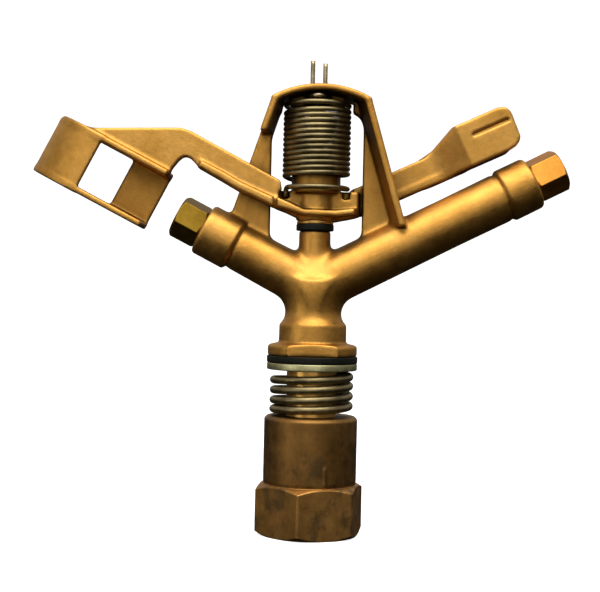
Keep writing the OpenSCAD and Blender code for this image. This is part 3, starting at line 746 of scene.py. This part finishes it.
for side, name, length, hex_l, hole, material, slot, cad_node in (
        (1, "range_jet", LONG_L, 12.6, 3.0, nozzle_orange, "nozzle_brass_orange", "range_nozzle"),
        (-1, "spreader_jet", SHORT_L, 11.4, 2.0, nozzle_olive, "nozzle_brass_olive", "spreader_nozzle")):
    c = NOZZLE_AF / 2 / math.cos(SIXTH / 2)
    at = place_along(side) @ Matrix.Translation((0, 0, length))
    jet = spun(name, [
        (5.2, -10.6, 0.2), (6.6, -10.6, 0.3), (6.6, 0.0, 0.05), (7.9, 0.0, 0.2), (c + 0.2, 1.0, 0.3),
        (c + 0.2, hex_l - 1.2, 0.4), (7.6, hex_l, 0.3), (hole + 1.0, hex_l, 0.3), (hole, hex_l - 1.0, 0.3),
        (hole, hex_l - 5, 0.5), (5.2, -4, 0.5)],
        0.3, 240, at, NOZZLE_AF, -12 * side, (0, hex_l + 0.01, 6.9), 0.3)
    finish_piece(jet, material, "head", slot, cad_node)

# stream straightener: two crossed vanes in the long tube
pts, fcs = [], []
for k, (a, b) in enumerate(((5.75, 0.5), (0.5, 5.75))):
    corners = [(x, y, z) for z in (44, 78) for x, y in ((-a, -b), (a, -b), (a, b), (-a, b))]
    base = len(pts)
    pts += corners
    fcs += [tuple(base + i for i in q) for q in (
        (3, 2, 1, 0), (4, 5, 6, 7), (0, 1, 5, 4), (1, 2, 6, 5), (2, 3, 7, 6), (3, 0, 4, 7))]
vanes = make("flow_vanes", moved(pts, place_along(1)), fcs, False)
finish_piece(vanes, vane_plastic, "head", "vane_plastic", "stream_straightener")

pin_low, pin_high = JOINT_Z + 11, ARCH_TOP - 1.0
pin = spun("pivot_pin", [(0.02, pin_low), (3, pin_low), (3, pin_high), (0.02, pin_high)], 0.4, 96)
finish_piece(pin, pin_steel, "head", "pin_steel", "fulcrum_pin")

# split pin: one wire folded on itself, its eye to the front and its legs bent up behind
EYE_Y, EYE_R, WIRE_R = -9.2, 2.3, 0.92
eye = [(EYE_R * math.sin(a), EYE_Y - EYE_R * math.cos(a), CROSS_Z)
       for a in np.radians(np.linspace(-150, 150, 41))]
straight = np.linspace(EYE_Y + 2.9, 6.2, 12)


def tail(s, reach, top):
    """A leg beyond the boss: bent up through the slot and then straight."""
    rows = []
    for a in np.radians(np.linspace(8, 90, 9)):
        x = 0.12 + 1.4 * (a / math.pi * 2) ** 1.5
        rows.append((s * x, 6.2 + 2.2 * math.sin(a), CROSS_Z + 2.2 * (1 - math.cos(a))))
    for t in np.linspace(0.12, 1, 10):
        x = 1.52 + (reach - 1.52) * min(1, t * 3)
        rows.append((s * x, 8.4, CROSS_Z + 2.2 + (top - CROSS_Z - 2.2) * t))
    return rows


left_leg = tail(-1, 2.2, ARCH_TOP + 12.3)[::-1] + [(-0.12, y, CROSS_Z) for y in straight[::-1]]
right_leg = [(0.12, y, CROSS_Z) for y in straight] + tail(1, 2.9, ARCH_TOP + 11.3)
throat = [(-0.7, EYE_Y + 2.3, CROSS_Z)], [(0.7, EYE_Y + 2.3, CROSS_Z)]
whole = left_leg + throat[0] + eye + throat[1] + right_leg


def wire_side(t, p):
    """The side of the folded wire that faces away from its other half."""
    away = np.cross(t, (0, 0, 1.0)) if abs(t[2]) < 0.9 else np.array((1.0 if p[0] > 0 else -1.0, 0, 0))
    if np.dot(away, (p[0] + 1e-6, 0, 0)) < 0 and p[1] > EYE_Y + 2.2:
        away = -away
    return away


split = sweep("cotter", whole, wire(WIRE_R, 16), wire_side)
finish_piece(split, split_steel, "head", "split_pin_wire", "split_pin")

finish_piece(washer("arm_rubber", "arm_washer", 3.05, 7.5, 0.4), rubber,
             "head", "seal_rubber", "arm_washer")

# arm spring: a dead coil on the arm, a close stack, a dead coil under the bridge
aw, ar = SPRING_WIRE, SPRING_R
lowc, topc = ARM_Z + 10.66 + aw / 2, ARCH_TOP - 6.15 - aw / 2
stack0 = ARM_Z + 15.6 + aw / 2
n_coils, pitch = 12 + 220 / 360, 2.06
a0 = LOWER_HOLE
a1, a2 = 365, 520
a3 = a2 + 360 * n_coils
a4 = a3 + 150
a5 = a4 + 220
stack1 = stack0 + n_coils * pitch


def hook(a, z, sign, length):
    """The end of the wire: a quarter bend of 2 mm and then straight into its hole."""
    out = []
    for t in np.radians(np.arange(0, 91, 15)):
        out.append((a - sign * math.degrees(2 * (1 - math.sin(t)) / ar), z + sign * 2 * (1 - math.cos(t))))
    out.append((a, z + sign * (2 + length)))
    return [(ar * math.cos(math.radians(q)), ar * math.sin(math.radians(q)), zz) for q, zz in out]


bend = math.degrees(2 / ar)
rows = helix([(a0 + bend, ar, lowc), (a1, ar, lowc), (a2, ar, stack0), (a3, ar, stack1), (a4, ar, topc),
              (a5 - bend, ar, topc)], 6)
rows = np.concatenate([np.array(hook(a0, lowc, -1, 1.7))[::-1], rows[1:-1], np.array(hook(a5, topc, 1, 3.2))])
spring = sweep("arm_coil", rows, wire(aw / 2, 14), outward)
spring.data.materials.append(spring_steel)
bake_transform(spring)
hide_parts("arm_spring")

bush = spun("bushing", [(3.05, BUSH_Z), (7.3, BUSH_Z), (7.3, ARM_Z - 1.4), (4.5, ARM_Z - 1.4),
                        (4.5, HUB_TOP), (3.05, HUB_TOP)], 0.25)
finish_piece(bush, machined_brass, "arm", "machined_brass", "arm_bushing")

arm = arm_piece(0.4)
finish_piece(arm, arm_brass_lit, "arm", "cast_brass", "impact_arm")

# ---------------------------------------------------------------- studio

def floor_white():
    m = bpy.data.materials.new("floor_white")
    m.use_nodes = True
    p = m.node_tree.nodes["Principled BSDF"]
    p.inputs["Base Color"].default_value = (0.9, 0.9, 0.9, 1)
    p.inputs["Roughness"].default_value = 0.9
    p.inputs["Emission Color"].default_value = (1, 1, 1, 1)
    p.inputs["Emission Strength"].default_value = 0.75
    return m


def cyclorama(size, back, height, bend):
    """A floor that bends up into a wall behind the part."""
    prof = [(-size, 0.0), (back - bend, 0.0)]
    prof += [(back - bend + bend * math.sin(t), bend * (1 - math.cos(t)))
             for t in np.linspace(0.1, math.pi / 2, 12)]
    prof += [(back, height)]
    points = [(x, y, z - 0.05) for y, z in prof for x in (-size, size)]
    faces = [(2 * i, 2 * i + 1, 2 * i + 3, 2 * i + 2) for i in range(len(prof) - 1)]
    return make("floor", points, faces)


floor = cyclorama(4000, 1500, 3000, 500)
floor.data.materials.append(floor_white())
floor.visible_glossy = False
floor.visible_diffuse = False

# light from all round, dark below the horizon and bright above
world = bpy.data.worlds.new("studio")
bpy.context.scene.world = world
world.use_nodes = True
wn = world.node_tree
bg = wn.nodes["Background"]
co = wn.nodes.new("ShaderNodeTexCoord").outputs["Generated"]
sep = wn.nodes.new("ShaderNodeSeparateXYZ")
wn.links.new(co, sep.inputs[0])
height = span_node(wn, sep.outputs[2], -1.0, 1.0)
sky = ramp_node(wn, height.outputs[0], [(0.0, 0.012), (0.46, 0.025), (0.60, 0.50), (1.0, 0.80)])
wn.links.new(sky.outputs[0], bg.inputs[0])
bg.inputs[1].default_value = 0.75


def area(name, where, aim, size, power):
    d = bpy.data.lights.new(name, "AREA")
    d.shape = "RECTANGLE"
    d.size, d.size_y = size
    d.energy = power
    o = bpy.data.objects.new(name, d)
    bpy.context.scene.collection.objects.link(o)
    o.location = where
    o.rotation_euler = (Vector(aim) - Vector(where)).to_track_quat("-Z", "Y").to_euler()


area("key_top", (0.0, -0.35, 0.8), (0, 0, 0.1), (0.9, 0.6), 6.5)
area("low_front", (0.0, -0.75, 0.10), (0, 0, 0.03), (0.7, 0.16), 0.4)
area("left_low", (-0.75, -0.55, 0.12), (0, 0, 0.1), (0.4, 0.2), 0.8)
area("front_soft", (-0.1, -1.1, 0.65), (0, 0, 0.1), (0.8, 0.4), 1.8)

cam_data = bpy.data.cameras.new("camera")
cam_data.sensor_width = 36
cam_data.lens = 75
cam_data.clip_start, cam_data.clip_end = 0.02, 50
cam = bpy.data.objects.new("camera", cam_data)
bpy.context.scene.collection.objects.link(cam)
cam.matrix_world = (
    Matrix.Translation((-0.0054, -0.5, 0.0947))
    @ Matrix.Rotation(math.radians(90), 4, "X")
    @ Matrix.Rotation(math.radians(1.3), 4, "Z")
)
bpy.context.scene.camera = cam
bpy.context.scene.view_settings.view_transform = "Standard"
